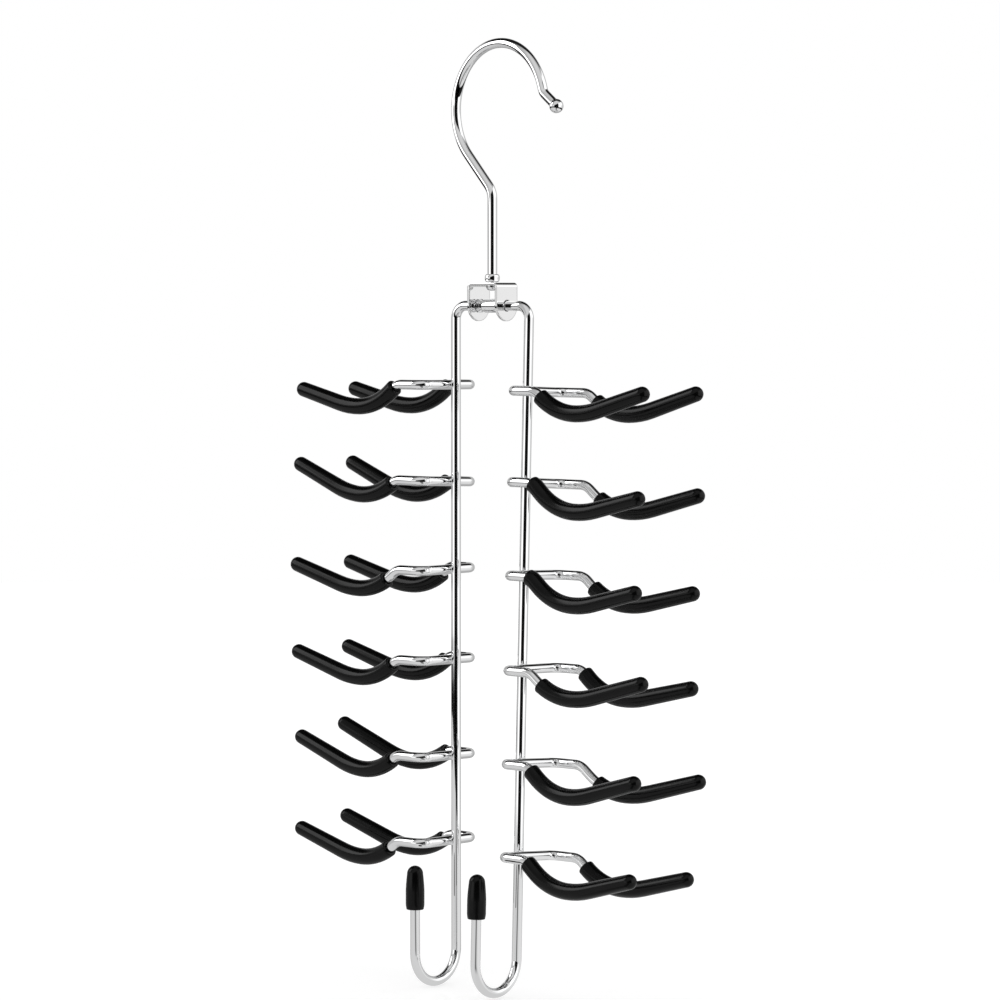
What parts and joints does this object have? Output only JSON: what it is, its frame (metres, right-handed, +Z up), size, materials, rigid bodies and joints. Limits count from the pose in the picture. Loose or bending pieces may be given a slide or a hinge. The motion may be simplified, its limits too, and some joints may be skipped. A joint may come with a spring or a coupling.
{
  "type": "tie and belt hanger",
  "caption": "Chrome wire hanger: a swivel hook over a folded bracket and hanging wires with outward forks in black sleeves for ties, each wire ending in a capped belt hook.",
  "frame": {"origin": "the inside of the hook's round part, straight above the stem, where it hangs on a rod", "axes": "+Z up; +X along the two arm ends, towards the right-hand arm; the belt hooks bend towards -Y, the front"},
  "size_m": [0.1988, 0.0554, 0.3878],
  "materials": {
    "chrome": "bright chrome plate on steel wire",
    "nickel_plate": "smooth nickel plate on folded steel sheet",
    "black_pvc": "satin black soft PVC"
  },
  "bodies": {
    "hook": {"hook_wire": "chrome", "stem_collar": "chrome"},
    "bracket": {"bracket": "nickel_plate", "arm_coupling": "chrome"},
    "left_arm": {"left_arm_wire": "chrome", "left_foot_cap": "black_pvc", "left_fork_1": "chrome", "left_fork_2": "chrome", "left_fork_3": "chrome", "left_fork_4": "chrome", "left_fork_5": "chrome", "left_fork_6": "chrome", "left_fork_1_front_sleeve": "black_pvc", "left_fork_1_back_sleeve": "black_pvc", "left_fork_2_front_sleeve": "black_pvc", "left_fork_2_back_sleeve": "black_pvc", "left_fork_3_front_sleeve": "black_pvc", "left_fork_3_back_sleeve": "black_pvc", "left_fork_4_front_sleeve": "black_pvc", "left_fork_4_back_sleeve": "black_pvc", "left_fork_5_front_sleeve": "black_pvc", "left_fork_5_back_sleeve": "black_pvc", "left_fork_6_front_sleeve": "black_pvc", "left_fork_6_back_sleeve": "black_pvc"},
    "right_arm": {"right_arm_wire": "chrome", "right_foot_cap": "black_pvc", "right_fork_1": "chrome", "right_fork_2": "chrome", "right_fork_3": "chrome", "right_fork_4": "chrome", "right_fork_5": "chrome", "right_fork_6": "chrome", "right_fork_1_front_sleeve": "black_pvc", "right_fork_1_back_sleeve": "black_pvc", "right_fork_2_front_sleeve": "black_pvc", "right_fork_2_back_sleeve": "black_pvc", "right_fork_3_front_sleeve": "black_pvc", "right_fork_3_back_sleeve": "black_pvc", "right_fork_4_front_sleeve": "black_pvc", "right_fork_4_back_sleeve": "black_pvc", "right_fork_5_front_sleeve": "black_pvc", "right_fork_5_back_sleeve": "black_pvc", "right_fork_6_front_sleeve": "black_pvc", "right_fork_6_back_sleeve": "black_pvc"}
  },
  "joints": [
    {"name": "hook_swivel", "type": "hinge", "parent": "hook", "child": "bracket", "pos_m": [0, 0, -0.0946], "axis": [0, 0, 1], "continuous": true},
    {"name": "left_arm_swing", "type": "hinge", "parent": "bracket", "child": "left_arm", "pos_m": [0, 0, -0.104], "axis": [1, 0, 0], "range_deg": [-120, 120]},
    {"name": "right_arm_swing", "type": "hinge", "parent": "bracket", "child": "right_arm", "pos_m": [0, 0, -0.104], "axis": [1, 0, 0], "range_deg": [-120, 120]}
  ]
}
